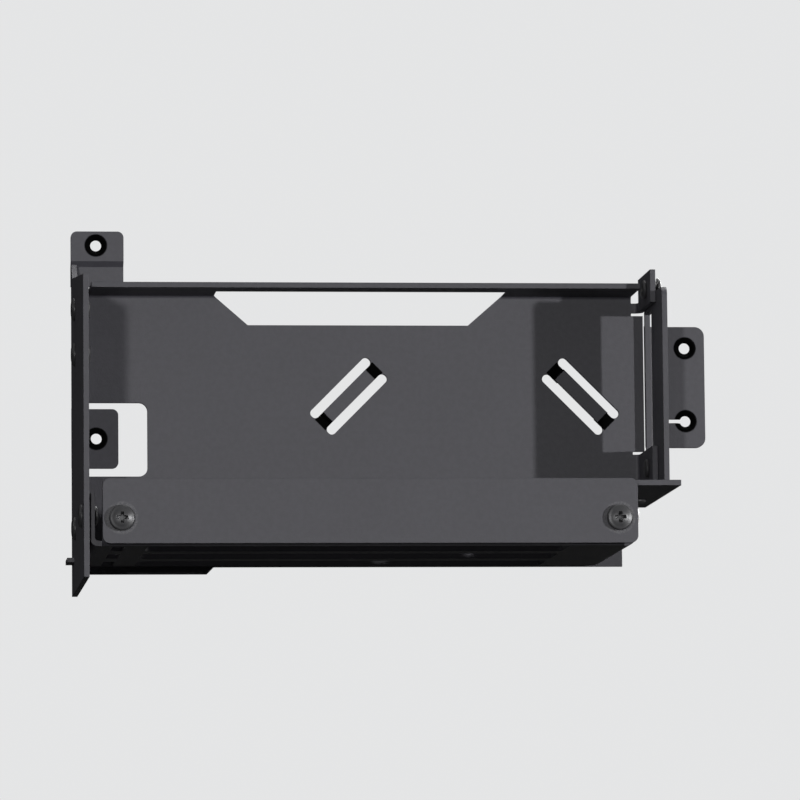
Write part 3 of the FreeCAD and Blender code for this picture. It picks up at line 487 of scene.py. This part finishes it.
barScrew = makeScrew("barScrewPattern", screwShape["barLength"])
slotScrew = makeScrew("slotScrewPattern", screwShape["slotLength"])
for side in ("left", "right"):
    piece = setDown(barScrew, "bar_screw_" + side, (0, 1, 0), screwShape["headHeight"])
for count in (1, 2, 3):
    piece = setDown(slotScrew, "slot_screw_%d" % count, (-1, 0, 0), screwShape["headHeight"])
drop(barScrew)
drop(slotScrew)
print("screws set")

# blind rivets, their broken pin down in the bore, in mm from under the head
rivetShape = {
    "headRadius": 2.6,
    "rise": 0.9,
    "rim": ((0.06, 0.0), (0.0, 0.08), (0.02, 0.22)),      # rings of the head's edge, inward and towards its top
    "eye": 0.95,            # radius from which the dome's round is drawn
    "domeAngle": 78,        # degrees
    "domeSteps": 6,
    "shank": 1.5,
    "neck": (0.05, 0.1),    # where the shank starts and how it flares at its end
    "grip": 2.5,            # thickness that it holds
    "tail": 2.1,
    "tailFlat": 0.7,        # innermost ring of the tail's flat end
    "tailRings": ((0.55, 0.9), (0.12, 0.65), (0.0, 0.45), (0.05, 0.12)),     # inward, and on past the grip
    "bore": 0.80,
    "boreRings": ((0.06, 0.05), (0.0, 0.16)),             # outward, and down from the head's top
    "pinDepth": 0.85,
    "pinRings": ((0.06, 0.0), (0.10, 0.22), (0.30, 0.32), (0.70, 0.30)),     # inward, and from its foot up
    "pinFaces": (0.02, 0.2),                # the pin is so far inside the bore, and lower than this
    "corners": 32,
    "smoothAngle": 35,
}


def makeRivet(shape=rivetShape):
    rise, grip, tail, bore = shape["rise"], shape["grip"], shape["tail"], shape["bore"]
    head, shank, eye = shape["headRadius"], shape["shank"], shape["eye"]
    neckStart, flare = shape["neck"]
    slack, rimTop = shape["rim"][-1]
    full = math.radians(shape["domeAngle"])
    foot = rise - shape["pinDepth"]
    profile = [(shape["tailFlat"], grip + shape["tailRings"][0][1])]
    profile += [(tail - inward, grip + past) for inward, past in shape["tailRings"]]
    profile += [(shank + flare, grip), (shank, grip - flare), (shank, neckStart)]
    profile += [(head - inward, -up) for inward, up in shape["rim"]]
    for step in range(1, shape["domeSteps"] + 1):
        swing = math.radians(shape["domeAngle"] * step / shape["domeSteps"])
        profile.append((eye + (head - eye - slack) * math.cos(swing),
                        -rimTop - (rise - rimTop) * math.sin(swing) / math.sin(full)))
    profile += [(bore + outward, -(rise - down)) for outward, down in shape["boreRings"]]
    profile.append((bore, -foot))
    profile += [(bore - inward, -(foot + up)) for inward, up in shape["pinRings"]]
    rivet = turn("rivetPattern", profile, shape["corners"])
    finish(rivet, finishes["blackRivet"], finishes["rivetPin"])
    inside, top = shape["pinFaces"]
    for face in rivet.data.polygons:
        middle = face.center
        if math.hypot(middle.x, middle.y) < (bore - inside) * mm and middle.z < top * mm:
            face.material_index = 1
    smoothByAngle(rivet, shape["smoothAngle"])
    return rivet


rivetPlaces = {
    "rivet_left_upper": (1, 0, 0), "rivet_left_lower": (1, 0, 0), "rivet_lip_front": (1, 0, 0),
    "rivet_lip_rear": (1, 0, 0), "rivet_right_upper": (-1, 0, 0), "rivet_right_lower": (-1, 0, 0),
    "rivet_foot_front": (0, 0, -1), "rivet_foot_rear": (0, 0, -1),
}
rivet = makeRivet()
for node, direction in rivetPlaces.items():
    piece = setDown(rivet, node, direction, rivetShape["rise"])
drop(rivet)
print("rivets set")

# clinch nuts behind the bar, in mm from the bar's front
nutShape = {
    "sheet": 1.2,
    "height": 1.6,
    "flange": 2.45,
    "flangeFoot": 0.10,
    "flangeChamfer": 0.22,
    "spigot": 2.1,
    "spigotChamfer": (0.05, 0.06),
    "bore": 1.5,
    "frontChamfer": 0.15,
    "backChamfer": 0.25,
    "threadDepth": 0.16,
    "threadStart": 0.3,
    "pitch": 0.5,
    "ridge": (0.6, 0.1),    # root and crest, as shares of the pitch
    "corners": 36,
    "smoothAngle": 30,
}


def makeNut(shape=nutShape):
    sheet, bore, flange, spigot = shape["sheet"], shape["bore"], shape["flange"], shape["spigot"]
    top = sheet + shape["height"]
    inward, up = shape["spigotChamfer"]
    front, back = shape["frontChamfer"], shape["backChamfer"]
    step, chamfer, pitch = shape["flangeFoot"], shape["flangeChamfer"], shape["pitch"]
    root, crest = shape["ridge"]
    profile = [(bore + front, 0.0), (spigot - inward, 0.0), (spigot, up), (spigot, sheet),
               (flange - step, sheet), (flange, sheet + step), (flange, top - chamfer), (flange - chamfer, top),
               (bore + back, top), (bore, top - back)]
    height = top - back - pitch
    while height > shape["threadStart"]:
        profile += [(bore + shape["threadDepth"], height + root * pitch), (bore, height + crest * pitch)]
        height -= pitch
    profile += [(bore, front), (bore + front, 0.0)]
    nut = turn("nutPattern", profile, shape["corners"], hollow=True)
    finish(nut, finishes["brightZinc"])
    smoothByAngle(nut, shape["smoothAngle"])
    return nut


nut = makeNut()
for side in ("left", "right"):
    piece = setDown(nut, "clinch_nut_" + side, (0, 1, 0), 0.0)
drop(nut)
print("nuts set")

# the coat is rubbed where a screw head turns on the bar
rubbedRing = (2.7, 3.7)     # mm, inner and outer radius
screwRings = []
for side in ("left", "right"):
    low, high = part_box("bar_screw_" + side)
    middle = (low + high) / 2
    screwRings.append(((middle.x, low.y + screwShape["headHeight"] * mm, middle.z), *rubbedRing))
# middles of the screw holes with rims of painted shade, in mm
tabHoles = ((0.0, -2.2, 22.0), (0.0, -1.0, -22.0))
earHoles = ((134.9, -1.0, -1.1), (134.9, -1.0, -17.9))
coated = {
    "clamp_bar": powderCoat("coatedBar", rings=screwRings),
    "tray": powderCoat("coatedTray", ties=tieStrips),
    "left_wall": powderCoat("coatedLeftWall", holes=tabHoles),
    "right_wall": powderCoat("coatedRightWall", holes=earHoles),
    "slot_plate": powderCoat("coatedSlotPlate"),
}
for name, material in coated.items():
    finish(nodes[name], material)
print("sheets coated")

# pale floor and plain, even light
stageLook = {
    "floorWidth": 60.0,
    "floorHeight": -0.27,
    "floorColour": (0.12, 0.12, 0.12, 1.0),
    "floorMottle": 0.97,         # share of the colour in its darker blotches
    "floorGlow": (0.66, 0.663, 0.666, 1.0),      # keeps the floor pale for the camera alone
    "floorRoughness": 0.85,
    "floorBlotch": 240.0,        # mm
    "floorBounce": 0.25,         # share of the floor's colour that lights the cage from below
    "background": (0.78, 0.785, 0.79, 1.0),
    "ambient": (0.02, 0.13),     # light of the surroundings, from below and from above
    "ambientRise": (-0.10, 0.70),                # upward part of a direction, between which it grows
    "gleam": (0.008, 0.50),      # brightness of the surroundings in the coat's gloss, from below and from above
    "gleamRise": (0.40, 0.95),
}


def makeFloor(look=stageLook):
    clearSelection()
    bpy.ops.mesh.primitive_plane_add(size=look["floorWidth"], location=(0, 0, look["floorHeight"]))
    floor = bpy.context.object
    floor.name = "paleFloor"
    material, tree, shader, place = openMaterial("floorPaint")
    tone = noise(place, look["floorBlotch"])
    paint = look["floorColour"]
    shade = blendColours(tone, tuple(look["floorMottle"] * part for part in paint[:3]) + (1.0,), paint)
    path = tree.nodes.new("ShaderNodeLightPath")
    bounce = tuple(look["floorBounce"] * part for part in paint[:3]) + (1.0,)
    seen = Wire(tree, path.outputs["Is Camera Ray"])
    link(tree, blendColours(seen, bounce, shade), shader, "Base Color")
    link(tree, blendColours(seen, (0.0, 0.0, 0.0, 1.0), look["floorGlow"]), shader, "Emission Color")
    shader.inputs["Emission Strength"].default_value = 1.0
    shader.inputs["Specular IOR Level"].default_value = 0.0
    shader.inputs["Roughness"].default_value = look["floorRoughness"]
    floor.data.materials.append(material)


def makeWorld(look=stageLook):
    world = bpy.data.worlds.new("paleWorld")
    bpy.context.scene.world = world
    world.use_nodes = True
    tree = world.node_tree
    tree.nodes.clear()
    path = tree.nodes.new("ShaderNodeLightPath")
    seen = Wire(tree, path.outputs["Is Camera Ray"])
    shiny = Wire(tree, path.outputs["Is Glossy Ray"])
    through = Wire(tree, path.outputs["Is Transmission Ray"])
    shown = seen.node("ShaderNodeMath", {"operation": "MAXIMUM"}, {0: seen, 1: through})
    sky = tree.nodes.new("ShaderNodeTexCoord")
    height = seen.node("ShaderNodeSeparateXYZ", {}, {"Vector": Wire(tree, sky.outputs["Generated"])}, "Z")
    soft = window(height, *look["ambientRise"], *look["ambient"])
    bright = window(height, *look["gleamRise"], *look["gleam"])
    lit = seen.node("ShaderNodeBackground", {}, {"Color": (1.0, 1.0, 1.0, 1.0), "Strength": soft})
    gleam = seen.node("ShaderNodeBackground", {}, {"Color": look["background"], "Strength": bright})
    plain = seen.node("ShaderNodeBackground", {}, {"Color": look["background"], "Strength": 1.0})
    first = seen.node("ShaderNodeMixShader", {}, {"Fac": shiny, 1: lit, 2: gleam})
    second = seen.node("ShaderNodeMixShader", {}, {"Fac": shown, 1: first, 2: plain})
    out = tree.nodes.new("ShaderNodeOutputWorld")
    tree.links.new(second.socket, out.inputs["Surface"])


target = Vector((0.0661, -0.032, -0.0164))   # middle of the cage
# each lamp's place from the target and its width in metres, and its power in watts
lamps = {
    "keyRight": {"off": (1.084, -1.199, 0.02), "size": 0.05, "power": 18.0},
    "fillLeft": {"off": (-0.35, -1.50, 0.02), "size": 0.06, "power": 7.4},
    "overhead": {"off": (0.25, 0.45, 1.50), "size": 1.10, "power": 18.0},
    "behind": {"off": (0.55, 1.45, 0.45), "size": 0.90, "power": 24.0},
    "rightSide": {"off": (1.60, 0.30, 0.40), "size": 0.80, "power": 9.0},
    "leftSide": {"off": (-1.50, 0.00, 0.50), "size": 0.70, "power": 2.2},
}


def aim(holder, place):
    # sets a lamp or the camera down, turned towards the cage
    bpy.context.scene.collection.objects.link(holder)
    holder.location = place
    holder.rotation_euler = (target - holder.location).to_track_quat("-Z", "Y").to_euler()


def makeLamp(name, look):
    lamp = bpy.data.lights.new(name, "AREA")
    lamp.shape = "DISK"
    lamp.size = look["size"]
    lamp.energy = look["power"]
    aim(bpy.data.objects.new(name, lamp), target + Vector(look["off"]))


# camera of the photograph, below and left of the cage
cameraLook = {"place": (-0.0638, -1.3137, -0.1539), "roll": -0.55, "lens": 262.0, "near": 0.05, "far": 40.0}


def makeCamera(look=cameraLook):
    camera = bpy.data.cameras.new("camera")
    holder = bpy.data.objects.new("camera", camera)
    aim(holder, look["place"])
    holder.rotation_euler.rotate_axis("Z", math.radians(look["roll"]))
    camera.lens = look["lens"]
    camera.clip_start = look["near"]
    camera.clip_end = look["far"]
    bpy.context.scene.camera = holder


makeFloor()
makeWorld()
for name, look in lamps.items():
    makeLamp(name, look)
makeCamera()
bpy.context.scene.view_settings.view_transform = "Standard"
print("floor, light and camera set")
